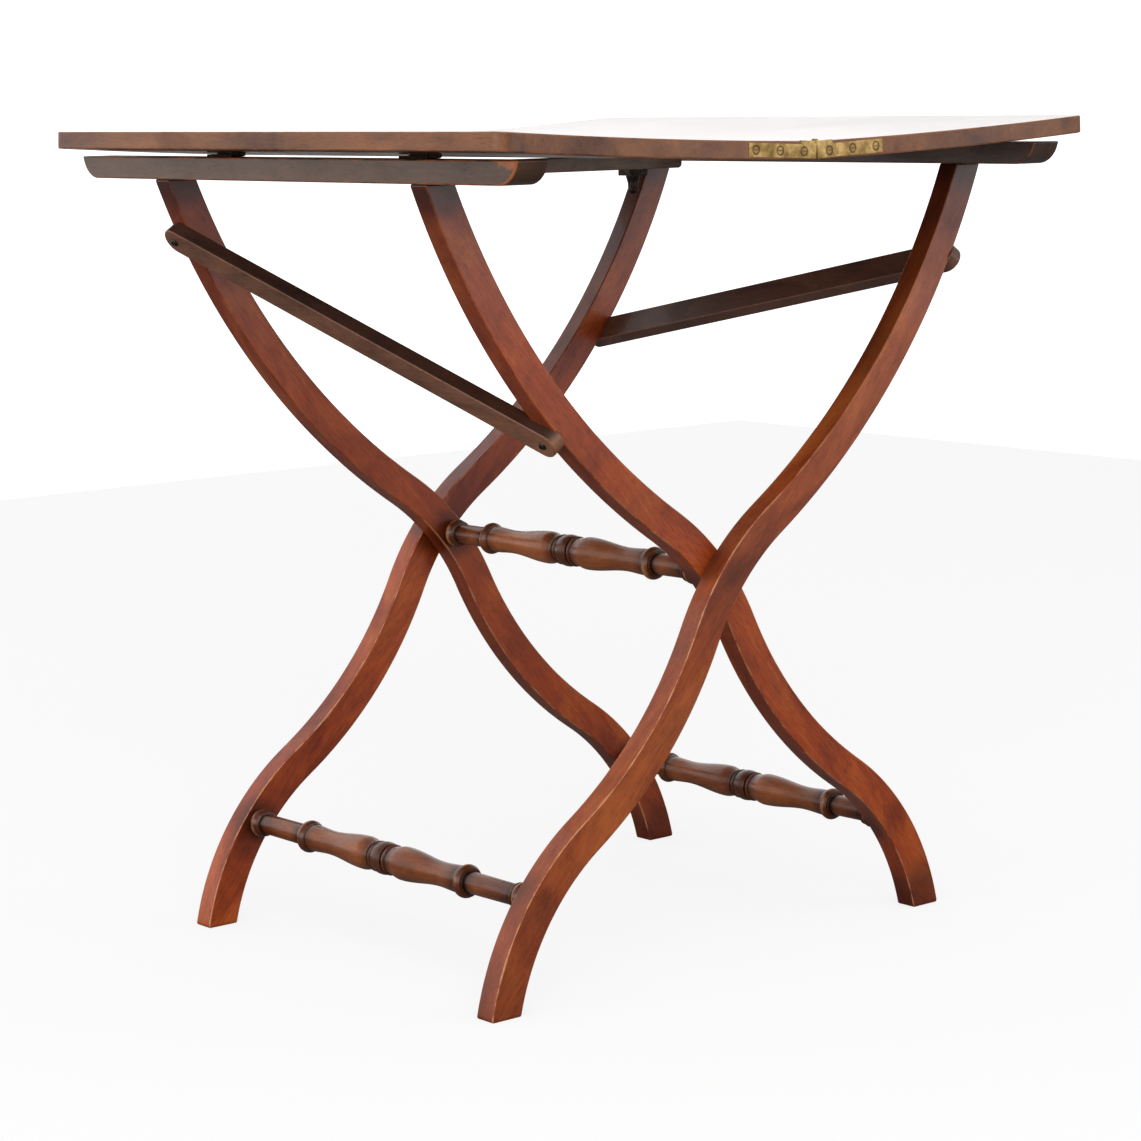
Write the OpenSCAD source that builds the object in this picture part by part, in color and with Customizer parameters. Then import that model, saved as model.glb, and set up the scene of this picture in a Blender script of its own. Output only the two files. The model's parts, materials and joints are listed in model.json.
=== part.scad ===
// Folding coaching table: a two-leaf top on two crossed frames of curved legs.
// The axes are X along the top across its hinge line, Y along the hinge line, Z up.
// The origin is on the floor under the middle of the top.

/* [Top] */
// Length of one leaf, from the hinge line to its outer edge
leaf_l = 320; // [290:1:350]
// Depth of the top, along the hinge line
top_d = 620; // [560:1:700]
// Thickness of a leaf
leaf_t = 14.7; // [13:0.1:20]
// Radius of the outer corners of the top, seen from above
leaf_corner_r = 12; // [6:1:30]
// Slope of each leaf down to the hinge line, in degrees
leaf_angle = 2.6; // [1:0.1:4]

/* [Rails] */
// Width of a rail
rail_w = 31; // [24:1:40]
// Height of a rail
rail_h = 18.8; // [16:0.1:26]
// Length of a rail
rail_l = 600; // [540:1:680]
// Radius of the round under each end of a rail
rail_end_r = 22; // [8:0.5:26]

/* [Legs] */
// Width of a leg across its curve, at the floor
leg_foot_w = 29.6; // [24:0.1:34]
// Width of a leg across its curve, under the rail
leg_top_w = 26.9; // [22:0.1:32]
// Thickness of a leg
leg_t = 20.4; // [16:0.1:24]
// Distance between the middles of the two inner legs
inner_span = 356; // [320:1:400]
// Gap between an inner and an outer leg at the pivot
frame_gap = 1.8; // [1.2:0.1:4]
// Lean of a leg from upright at the foot, in degrees
foot_angle = 12.3; // [8:0.1:20]
// Lean at the widest sweep of the lower bow, in degrees
lower_angle = 56.5; // [50:0.5:60]
// Lean at the knee below the pivot, in degrees
knee_angle = 25.6; // [20:0.1:35]
// Lean at the pivot, in degrees
pivot_angle = 39.9; // [37:0.1:43]
// Lean at the widest sweep of the upper bow, in degrees
upper_angle = 56.3; // [50:0.1:60]
// Lean at the rail, in degrees
rail_angle = 21.8; // [15:0.1:28]
// Radius of the bow at the foot
foot_bow_r = 216.8; // [190:0.1:250]
// Radius of the curve from the lower bow to the knee
knee_bow_r = 367; // [330:1:400]
// Radius of the curve from the knee to the upper bow
pivot_bow_r = 224; // [200:1:250]
// Radius of the long upper bow
upper_bow_r = 625; // [580:1:660]

/* [Stretchers] */
// Height of the stretcher between the outer legs
outer_stretcher_h = 88; // [70:1:120]
// Height of the stretcher between the inner legs
inner_stretcher_h = 86; // [60:1:110]
// Largest radius of the turning
vase_r = 14.4; // [13:0.1:17]
// Radius of the waist between the vase and the flange
waist_r = 10.4; // [9:0.1:12]
// Distance of each flange from the middle of a stretcher
flange_at = 110; // [95:1:125]
// Radius of the flange bead
flange_r = 14.2; // [12.5:0.1:16]
// Radius of the plain neck
neck_r = 9.2; // [8:0.1:11]
// Radius of the bulb against the leg
collar_r = 12.6; // [11.5:0.1:14]

/* [Braces] */
// Width of a brace
brace_w = 24.5; // [21:0.5:27]
// Thickness of a brace
brace_t = 13; // [10:0.5:16]
// How far below its rail the inner brace crosses the far leg
inner_brace_far_drop = 41.5; // [30:0.5:60]
// How far below its rail the inner brace crosses the near leg
inner_brace_near_drop = 194.5; // [170:0.5:210]
// How far below its rail the outer brace crosses the near leg
outer_brace_near_drop = 71.5; // [55:0.5:90]
// How far below its rail the outer brace crosses the far leg
outer_brace_far_drop = 151.5; // [130:0.5:180]

/* [Hinges] */
// Length of a butt hinge
butt_l = 36; // [30:1:50]
// Width of a butt hinge plate
butt_w = 12.5; // [11:0.5:14]
// Thickness of a butt hinge plate
butt_t = 1.8; // [1.4:0.1:2]
// Radius of a butt hinge knuckle
butt_r = 2.2; // [2:0.1:3]
// Distance of the far butt hinge from the middle of the rail
butt_far_at = 117; // [80:1:160]
// Distance of the near butt hinge from the middle of the rail
butt_near_at = 149; // [90:1:170]
// Length of a card table hinge strap
strap_l = 73; // [70:1:80]
// Height of a card table hinge strap
strap_h = 10.8; // [9:0.1:11.5]
// Thickness of a card table hinge strap
strap_t = 2.2; // [1.8:0.1:2.6]
// Length of the raised tab at the joint
tab_l = 17; // [12:0.5:19]
// Radius of a card table hinge eye
eye_r = 1.6; // [1.5:0.1:2.5]

/* [Lock bar] */
// Length of the lock bar
bar_l = 248; // [220:1:270]
// Width of the lock bar
bar_w = 28; // [22:1:32]
// Thickness of the lock bar
bar_t = 12; // [10:0.5:16]
// Distance of the lock bar pivot from the hinge line
bar_pivot_x = 78.5; // [60:0.5:90]
// Width of the plate under the lock bar
plate_w = 20; // [18:1:28]
// Thickness of the plate under the lock bar
plate_t = 5.5; // [3:0.5:7]
// Radius of the knob
knob_r = 6.3; // [5:0.1:8]
// Height of the knob
knob_h = 16; // [12:0.5:18]

/* [Hidden] */
$fn = 64;

// Colours
mahogany = "#7A3B24";
dark_mahogany = "#4A2C22";
brass = "#B08D4C";
iron = "#4B4642";

// Clearances and overruns
fit = 0.1;
run = 0.3;
over = 1;

// Stretcher turning, from the middle outwards
barrel_w = 13;
barrel_r = 14.2;
barrel_rise = 1;
groove_r = 11.6;
groove_w = 1.5;
ring_w = 3;
ring_r = 13.4;
cove_w = 2.5;
vase_start_r = 12.3;
vase_rise_w = 13.5;
waist_at = 78;
waist_end_r = 11.6;
fillet_w = 1.5;
fillet_r = 12.2;
flange_w = 9;
neck_fillet_r = 11.2;
neck_mid_r = 8.9;
collar_w = 9;
collar_ring_w = 3;
collar_ring_r = 11.3;
collar_ring_foot_r = 9.5;
collar_foot_w = 2;
collar_foot_r = 10.5;
tenon_r = 6.5;
tenon_l = 12;
turn_steps = 8;

// Chords of each bow of a leg, and how far its end bows run on before they are cut flat
bow_steps = 14;
end_angle = 8;

// Leg tenons into the rails
leg_tenon_w = 14;
leg_tenon_t = 10;
leg_tenon_l = 12;

// Brace seats and screws
brace_seat = 2;
brace_screw_r = 1.8;
brace_screw_l = 24;
brace_head_r = 4;
brace_head_h = 2.2;
slot_w = 1;
slot_depth = 0.8;

// Butt hinge details
butt_pin_r = 1.1;
butt_inset = 1.2;
butt_screw_r = 1.3;
butt_screw_head_r = 2.7;
butt_screw_head_h = 1.4;
butt_screw_l = 11;
butt_screw_at = 11;
butt_screw_share = 0.66;
knuckle_share = 1 / 3;

// Card table hinge details
strap_margin = 0.9;
card_pin_r = 0.8;
card_screw_first = 13.5;
card_screw_pitch = 26;
card_screw_count = 3;
card_screw_r = 1.6;
card_screw_head_r = 3.5;
card_screw_head_h = 1.7;
card_screw_l = 14;

// Pivot between the frames
pivot_pin_r = 4;
pivot_pin_depth = 14;
pivot_washer_r = 12;
pivot_washer_t = 1.2;

// Lock bar details
bar_end_r = 4;
bolt_r = 3;
bolt_depth = 9;
bolt_in_knob = 8;
spacer_r = 9;
knob_neck_r = 4.6;
knob_band = 0.7;
plate_corner_r = 3;
bar_rest_gap = 0.3;

// Places worked out from the sizes above
outer_span = inner_span + 2 * (leg_t + frame_gap);
// Shift along a bow of radius r from lean a to lean b; turn is 1 where the lean grows upwards
function bow(turn, r, a, b) = turn * r * [cos(a) - cos(b), sin(b) - sin(a)];
knee_p = -bow(1, pivot_bow_r, knee_angle, pivot_angle);
lower_p = knee_p - bow(-1, knee_bow_r, lower_angle, knee_angle);
foot_p = lower_p - bow(1, foot_bow_r, foot_angle, lower_angle);
upper_p = bow(1, pivot_bow_r, pivot_angle, upper_angle);
top_p = upper_p + bow(-1, upper_bow_r, upper_angle, rail_angle);
pivot_z = -foot_p[1];
rail_x = top_p[0];
rail_z = pivot_z + top_p[1];
// Heights at which the braces cross the legs
inner_brace_high = rail_z - inner_brace_far_drop;
inner_brace_low = rail_z - inner_brace_near_drop;
outer_brace_high = rail_z - outer_brace_near_drop;
outer_brace_low = rail_z - outer_brace_far_drop;
rail_top = rail_z + rail_h;

// Axis of the butt hinge pins, and the hinge line at the top surface
butt_drop = butt_r + fit;
butt_places = [-butt_near_at, butt_far_at];
butt_x = rail_x - rail_w / 2 - butt_inset;
butt_z = rail_top + butt_drop;
butt_u = (butt_x - (leaf_t + butt_drop) * sin(leaf_angle)) / cos(leaf_angle);
hinge_z = butt_z - butt_u * sin(leaf_angle) + (leaf_t + butt_drop) * cos(leaf_angle);
bar_top = hinge_z - leaf_t - bar_rest_gap;

// Half the width of a leg at height z
function half_w(z) = (leg_foot_w + (leg_top_w - leg_foot_w) * z / rail_z) / 2;
// Place on the lower bow of an outer leg at height z: x
function low_leg_angle(z) = asin(z / foot_bow_r + sin(foot_angle));
function low_leg_x(z) = foot_p[0] + foot_bow_r * (cos(foot_angle) - cos(low_leg_angle(z)));
// Lean and x of the upper bow of an outer leg at height z
function up_leg_angle(z) = asin(sin(upper_angle) - (z - pivot_z - upper_p[1]) / upper_bow_r);
function up_leg_x(z) = upper_p[0] + upper_bow_r * (cos(up_leg_angle(z)) - cos(upper_angle));
// Point of the outside face of an outer leg that lies level with its centre line at z
function face_x(z) = up_leg_x(z) + half_w(z) * cos(up_leg_angle(z));
function face_z(z) = z - half_w(z) * sin(up_leg_angle(z));

// Rounded bar section, as wide as w and as tall as h
module soft_section(w, h, r) {
    square([w - 2 * r, h], center = true);
    square([w, h - 2 * r], center = true);
    for (x = [-1, 1], y = [-1, 1])
        translate([x * (w / 2 - r), y * (h / 2 - r)]) circle(r, $fn = 32);
}

// One side of a bow, as points at half a leg's width from the arc that starts at p
function bow_side(side, p, turn, r, a, b) =
    [for (i = [1 : bow_steps])
        let (lean = a + (b - a) * i / bow_steps, middle = p + bow(turn, r, a, lean))
            middle + side * half_w(pivot_z + middle[1]) * [cos(lean), -sin(lean)]];
function leg_side(side) = concat(
    bow_side(side, foot_p + bow(1, foot_bow_r, foot_angle, foot_angle - end_angle),
        1, foot_bow_r, foot_angle - end_angle, lower_angle),
    bow_side(side, lower_p, -1, knee_bow_r, lower_angle, knee_angle),
    bow_side(side, knee_p, 1, pivot_bow_r, knee_angle, upper_angle),
    bow_side(side, upper_p, -1, upper_bow_r, upper_angle, rail_angle - end_angle));

// Curved leg with its foot at -X and its top at +X, centred on Y = 0
module curved_leg() {
    right = leg_side(1);
    left = leg_side(-1);
    intersection() {
        translate([0, leg_t / 2, pivot_z]) rotate([90, 0, 0]) linear_extrude(leg_t)
            polygon(concat(right, [for (i = [len(left) - 1 : -1 : 0]) left[i]]));
        translate([-2 * rail_x, -leg_t, 0]) cube([4 * rail_x, 2 * leg_t, rail_z]);
    }
    translate([rail_x - leg_tenon_w / 2, -leg_tenon_t / 2, rail_z - over])
        cube([leg_tenon_w, leg_tenon_t, leg_tenon_l + over]);
}

// Cylinder along +Y from y = 0
module y_rod(r, l) {
    rotate([-90, 0, 0]) cylinder(r = r, h = l);
}

// Outer legs stand at -X and carry the right rail; the inner ones are their mirror image
module inner_side() {
    mirror([1, 0, 0]) children();
}
// Near is -Y and far is +Y
module at_near(span) {
    translate([0, -span / 2, 0]) children();
}
module at_far(span) {
    translate([0, span / 2, 0]) mirror([0, 1, 0]) children();
}

// Frame of a brace: X is its outward normal, Y runs from the near to the far leg
module brace_frame(span, near_h, far_h) {
    dx = face_x(far_h) - face_x(near_h);
    dz = face_z(far_h) - face_z(near_h);
    rise = (dz > 0 ? 1 : -1) * norm([dx, dz]);
    translate([face_x(near_h), -span / 2, face_z(near_h)])
        rotate([0, atan(dx / dz), 0]) rotate([atan2(rise, span), 0, 0]) children();
}
function brace_l(span, near_h, far_h) =
    norm([face_x(far_h) - face_x(near_h), span, face_z(far_h) - face_z(near_h)]);

// Places along a brace of its two screws
module brace_ends(span, near_h, far_h) {
    brace_frame(span, near_h, far_h)
        for (y = [0, brace_l(span, near_h, far_h)]) translate([0, y, 0]) children();
}

module brace_bore() {
    translate([brace_t - brace_seat - brace_screw_l, 0, 0]) rotate([0, 90, 0])
        cylinder(r = brace_screw_r + fit, h = brace_screw_l + over);
}

module brace(span, near_h, far_h) {
    length = brace_l(span, near_h, far_h);
    difference() {
        brace_frame(span, near_h, far_h) translate([-brace_seat, 0, 0]) {
            translate([0, 0, -brace_w / 2]) cube([brace_t, length, brace_w]);
            for (y = [0, length])
                translate([0, y, 0]) rotate([0, 90, 0]) cylinder(d = brace_w, h = brace_t);
        }
        for (side = [-1, 1]) translate([0, side * span / 2, 0]) curved_leg();
        brace_ends(span, near_h, far_h) brace_bore();
    }
}

module brace_screws(span, near_h, far_h) {
    brace_ends(span, near_h, far_h) translate([brace_t - brace_seat, 0, 0]) difference() {
        rotate([0, 90, 0]) {
            cylinder(r1 = brace_head_r, r2 = brace_head_r / 2, h = brace_head_h);
            translate([0, 0, -brace_screw_l + run]) cylinder(r = brace_screw_r, h = brace_screw_l);
        }
        translate([brace_head_h - slot_depth, -slot_w / 2, -brace_head_r])
            cube([brace_head_h, slot_w, 2 * brace_head_r]);
    }
}

// Leg with the bores that its frame needs
module outer_leg_body() {
    difference() {
        curved_leg();
        translate([low_leg_x(outer_stretcher_h), leg_t / 2 - tenon_l - fit, outer_stretcher_h])
            y_rod(tenon_r + fit, tenon_l + over);
        translate([0, leg_t / 2 - pivot_pin_depth - fit, pivot_z])
            y_rod(pivot_pin_r + fit, pivot_pin_depth + over);
    }
}
module inner_leg_body() {
    difference() {
        curved_leg();
        translate([low_leg_x(inner_stretcher_h), leg_t / 2 - tenon_l - fit, inner_stretcher_h])
            y_rod(tenon_r + fit, tenon_l + over);
        translate([0, -leg_t / 2 - over, pivot_z]) y_rod(tenon_r + fit, leg_t + 2 * over);
    }
}

module outer_leg_near() {
    color(mahogany) difference() {
        at_near(outer_span) outer_leg_body();
        brace_ends(outer_span, outer_brace_high, outer_brace_low) brace_bore();
    }
}
module outer_leg_far() {
    color(mahogany) difference() {
        at_far(outer_span) outer_leg_body();
        brace_ends(outer_span, outer_brace_high, outer_brace_low) brace_bore();
    }
}
module inner_leg_near() {
    color(mahogany) inner_side() difference() {
        at_near(inner_span) inner_leg_body();
        brace_ends(inner_span, inner_brace_low, inner_brace_high) brace_bore();
    }
}
module inner_leg_far() {
    color(mahogany) inner_side() difference() {
        at_far(inner_span) inner_leg_body();
        brace_ends(inner_span, inner_brace_low, inner_brace_high) brace_bore();
    }
}

// Side view of a rail, centred, with a round under each end
module rail_outline() {
    difference() {
        translate([-rail_l / 2, 0]) square([rail_l, rail_h]);
        for (side = [-1, 1]) difference() {
            translate([side * (rail_l - rail_end_r) / 2, (rail_end_r - over) / 2])
                square([rail_end_r + over * 2, rail_end_r + over], center = true);
            translate([side * (rail_l / 2 - rail_end_r), rail_end_r]) circle(rail_end_r);
            translate([side * (rail_l / 2 - 2 * rail_end_r), rail_end_r])
                square([2 * rail_end_r, 3 * rail_end_r], center = true);
        }
    }
}

// Rail at +X over legs that stand span apart
module rail(span) {
    difference() {
        translate([rail_x - rail_w / 2, 0, rail_z])
            rotate([90, 0, 90]) linear_extrude(rail_w) rail_outline();
        for (side = [-1, 1])
            translate([rail_x, side * span / 2, rail_z + (leg_tenon_l - over) / 2])
                cube([leg_tenon_w + 2 * fit, leg_tenon_t + 2 * fit,
                    leg_tenon_l + over + 2 * fit], center = true);
        rail_screw_places()
            cylinder(r = butt_screw_r + fit, h = 2 * butt_screw_l, center = true);
    }
}
module right_rail() {
    color(dark_mahogany) rail(outer_span);
}
module left_rail() {
    color(dark_mahogany) inner_side() rail(inner_span);
}

// Half of the turned outline, as [distance from the middle, radius] points: a bead swells
// from r0 to r1 and back, and an ease runs smoothly on from r0 to r1
function bead(y, w, r0, r1) =
    [for (i = [0 : turn_steps]) [y + w * i / turn_steps, r0 + (r1 - r0) * sin(180 * i / turn_steps)]];
function ease(y0, y1, r0, r1) =
    [for (i = [1 : turn_steps]) [y0 + (y1 - y0) * i / turn_steps,
        r0 + (r1 - r0) * (1 - cos(180 * i / turn_steps)) / 2]];
function half_barrel() =
    [for (i = [0 : turn_steps]) [barrel_w / 2 * i / turn_steps,
        barrel_r - barrel_rise * (1 - cos(90 * i / turn_steps))]];
ring_at = barrel_w / 2 + groove_w;
cove_at = ring_at + ring_w;
vase_at = cove_at + cove_w;
function turned_half(end) = concat(
    half_barrel(),
    [[barrel_w / 2, groove_r]],
    bead(ring_at, ring_w, groove_r, ring_r),
    [[vase_at, groove_r], [vase_at, vase_start_r]],
    ease(vase_at, vase_at + vase_rise_w, vase_start_r, vase_r),
    ease(vase_at + vase_rise_w, waist_at, vase_r, waist_r),
    ease(waist_at, flange_at - flange_w / 2 - fillet_w, waist_r, waist_end_r),
    [[flange_at - flange_w / 2 - fillet_w, fillet_r]],
    bead(flange_at - flange_w / 2, flange_w, fillet_r, flange_r),
    [[flange_at + flange_w / 2, neck_fillet_r],
        [flange_at + flange_w / 2 + fillet_w, neck_fillet_r],
        [flange_at + flange_w / 2 + fillet_w, neck_r]],
    ease(flange_at + flange_w / 2 + fillet_w, end - collar_foot_w - collar_w - collar_ring_w,
        neck_r, neck_mid_r),
    bead(end - collar_foot_w - collar_w - collar_ring_w, collar_ring_w, collar_ring_foot_r,
        collar_ring_r),
    bead(end - collar_foot_w - collar_w, collar_w, collar_foot_r, collar_r),
    [[end, collar_foot_r]]);

// Turned stretcher between legs whose inside faces are 2 * end apart
module turned(end, tenon) {
    half = turned_half(end);
    back = [for (i = [len(half) - 1 : -1 : 0]) half[i]];
    rotate([-90, 0, 0]) {
        rotate_extrude() polygon(concat(
            [[0, end]], [for (p = back) [p[1], p[0]]],
            [for (p = half) [p[1], -p[0]]], [[0, -end]]));
        cylinder(r = tenon_r, h = 2 * (end + tenon), center = true);
    }
}
module outer_stretcher() {
    color(dark_mahogany) translate([low_leg_x(outer_stretcher_h), 0, outer_stretcher_h])
        turned((outer_span - leg_t) / 2, tenon_l);
}
module inner_stretcher() {
    color(dark_mahogany) inner_side()
        translate([low_leg_x(inner_stretcher_h), 0, inner_stretcher_h])
            turned((inner_span - leg_t) / 2, tenon_l);
}
module pivot_stretcher() {
    color(dark_mahogany) translate([0, 0, pivot_z]) turned((inner_span - leg_t) / 2, leg_t);
}

module outer_brace() {
    color(dark_mahogany) brace(outer_span, outer_brace_high, outer_brace_low);
}
module outer_brace_screws() {
    color(iron) brace_screws(outer_span, outer_brace_high, outer_brace_low);
}
module inner_brace() {
    color(dark_mahogany) inner_side() brace(inner_span, inner_brace_low, inner_brace_high);
}
module inner_brace_screws() {
    color(iron) inner_side() brace_screws(inner_span, inner_brace_low, inner_brace_high);
}

// Short pins in the outer legs, and the washers that keep the frames apart
module pivot_pins() {
    color(iron) for (near = [0, 1]) mirror([0, near, 0])
        translate([0, (inner_span + leg_t) / 2 + pivot_washer_t + run, pivot_z])
            y_rod(pivot_pin_r, frame_gap - pivot_washer_t - run + pivot_pin_depth);
}
module pivot_washers() {
    color(brass) for (near = [0, 1]) mirror([0, near, 0])
        translate([0, (inner_span + leg_t) / 2, pivot_z]) y_rod(pivot_washer_r, pivot_washer_t);
}

// Frame of the right leaf: origin on the hinge line, X outwards, Z up from its top surface
module right_side() {
    translate([0, 0, hinge_z]) rotate([0, -leaf_angle, 0]) children();
}
module left_side() {
    mirror([1, 0, 0]) right_side() children();
}

// Screws of the butt hinges, seen from the rail and from the leaf
module rail_screw_places() {
    for (y = butt_places, s = [-1, 1])
        translate([butt_x + butt_w * butt_screw_share, y + s * butt_screw_at, rail_top])
            children();
}
module leaf_screw_places() {
    for (y = butt_places, s = [-1, 1])
        translate([butt_u + butt_w * butt_screw_share, y + s * butt_screw_at, -leaf_t])
            children();
}

// Countersunk screw pointing down, with its head flush at z = 0
module sunk_screw(r, head_r, head_h, l) {
    difference() {
        union() {
            translate([0, 0, -head_h]) cylinder(r1 = r, r2 = head_r, h = head_h);
            translate([0, 0, -l]) cylinder(r = r, h = l - head_h / 2);
        }
        translate([-head_r, -slot_w / 2, -slot_depth]) cube([2 * head_r, slot_w, over]);
    }
}
module sunk_hole(r, head_r, head_h, l) {
    translate([0, 0, -head_h]) cylinder(r1 = r + fit, r2 = head_r + fit, h = head_h);
    translate([0, 0, -l - fit]) cylinder(r = r + fit, h = l);
    cylinder(r = head_r + fit, h = over);
}

// Butt hinge half about its pin at x = 0, z = 0: the plate lies at z from -butt_drop up,
// and the knuckles are the middle third or the two outer thirds
module butt_half(middle) {
    third = butt_l * knuckle_share;
    end = butt_l / 2 + over;
    cuts = middle ? [[-end, fit - third / 2], [third / 2 - fit, end]]
        : [[-third / 2 - fit, third / 2 + fit]];
    difference() {
        union() {
            translate([0, -butt_l / 2, -butt_drop]) cube([butt_w, butt_l, butt_t]);
            translate([0, -butt_l / 2, 0]) y_rod(butt_r, butt_l);
        }
        translate([0, -butt_l, 0]) y_rod(butt_pin_r + fit, 2 * butt_l);
        for (c = cuts) translate([0, c[0], 0]) y_rod(butt_r + run, c[1] - c[0]);
    }
}
module butt_rail_plates() {
    for (y = butt_places) difference() {
        translate([butt_x, y, butt_z]) butt_half(false);
        rail_plate_holes();
    }
}
module rail_plate_holes() {
    rail_screw_places() translate([0, 0, butt_t])
        sunk_hole(butt_screw_r, butt_screw_head_r, butt_screw_head_h, butt_screw_l);
}
module butt_rail_screws() {
    rail_screw_places() translate([0, 0, butt_t])
        sunk_screw(butt_screw_r, butt_screw_head_r, butt_screw_head_h, butt_screw_l);
}
module butt_leaf_plates() {
    for (y = butt_places) difference() {
        translate([butt_u, y, -leaf_t - butt_drop]) mirror([0, 0, 1]) butt_half(true);
        leaf_screw_places() mirror([0, 0, 1]) translate([0, 0, butt_t])
            sunk_hole(butt_screw_r, butt_screw_head_r, butt_screw_head_h, butt_screw_l);
    }
}
module butt_leaf_screws() {
    leaf_screw_places() mirror([0, 0, 1]) translate([0, 0, butt_t])
        sunk_screw(butt_screw_r, butt_screw_head_r, butt_screw_head_h, butt_screw_l);
}
module butt_pins() {
    for (y = butt_places)
        translate([butt_u, y - butt_l / 2, -leaf_t - butt_drop])
            y_rod(butt_pin_r, butt_l);
}

module right_butt_rail_plates() {
    color(brass) butt_rail_plates();
}
module left_butt_rail_plates() {
    color(brass) inner_side() butt_rail_plates();
}
module right_butt_rail_screws() {
    color(brass) butt_rail_screws();
}
module left_butt_rail_screws() {
    color(brass) inner_side() butt_rail_screws();
}
module right_butt_leaf_plates() {
    color(brass) right_side() butt_leaf_plates();
}
module left_butt_leaf_plates() {
    color(brass) left_side() butt_leaf_plates();
}
module right_butt_leaf_screws() {
    color(brass) right_side() butt_leaf_screws();
}
module left_butt_leaf_screws() {
    color(brass) left_side() butt_leaf_screws();
}
module right_butt_pins() {
    color(iron) right_side() butt_pins();
}
module left_butt_pins() {
    color(iron) left_side() butt_pins();
}

// Card table hinge: both ends of the top, with y = 0 at the edge face and +Y into the wood
module edge_frame(far) {
    mirror([0, far ? 1 : 0, 0]) translate([0, -top_d / 2, 0]) children();
}
// Outline of one strap, seen from the edge, grown by g
module strap_body(g, depth) {
    translate([fit - g, 0, -leaf_t + strap_margin - g])
        cube([strap_l - fit + 2 * g, depth, strap_h + 2 * g]);
    translate([fit - g, 0, -leaf_t + strap_margin - g])
        cube([tab_l - fit + 2 * g, depth, leaf_t - strap_margin + g]);
}
// Thick part behind the tab that carries the inner eye
module eye_block(g) {
    translate([fit - g, 0, -leaf_t + strap_margin - g])
        cube([tab_l / 2 - fit + 2 * g, 2 * strap_t + run + g, leaf_t - strap_margin + g]);
}
module card_screw_places() {
    for (i = [0 : card_screw_count - 1])
        translate([card_screw_first + i * card_screw_pitch, 0,
            -leaf_t + strap_margin + strap_h / 2]) rotate([90, 0, 0]) children();
}
module card_holes() {
    card_screw_places()
        sunk_hole(card_screw_r, card_screw_head_r, card_screw_head_h, card_screw_l);
}
module card_half_outer() {
    difference() {
        union() {
            strap_body(0, strap_t);
            y_rod(eye_r, strap_t);
        }
        translate([0, -over, 0]) y_rod(card_pin_r + fit, strap_t + 2 * over);
        card_holes();
    }
}
module card_half_inner() {
    difference() {
        union() {
            strap_body(0, strap_t);
            eye_block(0);
            translate([0, strap_t + run, 0]) y_rod(eye_r, strap_t);
        }
        translate([0, -over, 0]) y_rod(eye_r + run, strap_t + run + over);
        translate([0, -over, 0]) y_rod(card_pin_r + fit, 2 * strap_t + run + 2 * over);
        card_holes();
    }
}
module card_screws() {
    for (far = [false, true]) edge_frame(far) card_screw_places()
        sunk_screw(card_screw_r, card_screw_head_r, card_screw_head_h, card_screw_l);
}
module near_card_hinge_right() {
    color(brass) right_side() edge_frame(false) card_half_outer();
}
module far_card_hinge_right() {
    color(brass) right_side() edge_frame(true) card_half_outer();
}
module near_card_hinge_left() {
    color(brass) left_side() edge_frame(false) card_half_inner();
}
module far_card_hinge_left() {
    color(brass) left_side() edge_frame(true) card_half_inner();
}
module card_hinge_right_screws() {
    color(brass) right_side() card_screws();
}
module card_hinge_left_screws() {
    color(brass) left_side() card_screws();
}
module card_hinge_pins() {
    color(brass) left_side() for (far = [false, true])
        edge_frame(far) y_rod(card_pin_r, 2 * strap_t + run);
}

// One leaf in its own frame, with the mortises for its hinges
module leaf_body(inner) {
    difference() {
        translate([0, 0, -leaf_t]) linear_extrude(leaf_t) {
            translate([fit, -top_d / 2]) square([leaf_l - leaf_corner_r - fit, top_d]);
            translate([fit, leaf_corner_r - top_d / 2])
                square([leaf_l - fit, top_d - 2 * leaf_corner_r]);
            for (s = [-1, 1])
                translate([leaf_l - leaf_corner_r, s * (top_d / 2 - leaf_corner_r)])
                    circle(leaf_corner_r);
        }
        for (far = [false, true]) edge_frame(far) {
            translate([0, -over, 0]) {
                strap_body(fit, strap_t + over);
                translate([0, 0, -leaf_t]) cube([2 * fit, over, over]);
            }
            if (inner) eye_block(fit);
            translate([0, -over, 0]) y_rod(eye_r + run, 2 * strap_t + 2 * run + over);
            card_screw_places() translate([0, 0, -card_screw_l - fit])
                cylinder(r = card_screw_r + fit, h = card_screw_l);
        }
        leaf_screw_places() translate([0, 0, -over])
            cylinder(r = butt_screw_r + fit, h = butt_screw_l - butt_t + over + fit);
    }
}
module right_leaf() {
    color(mahogany) difference() {
        right_side() leaf_body(false);
        translate([bar_pivot_x, 0, bar_top])
            cylinder(r = bolt_r + fit, h = bolt_top - bar_top + fit);
    }
}
module left_leaf() {
    color(mahogany) left_side() leaf_body(true);
}

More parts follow.
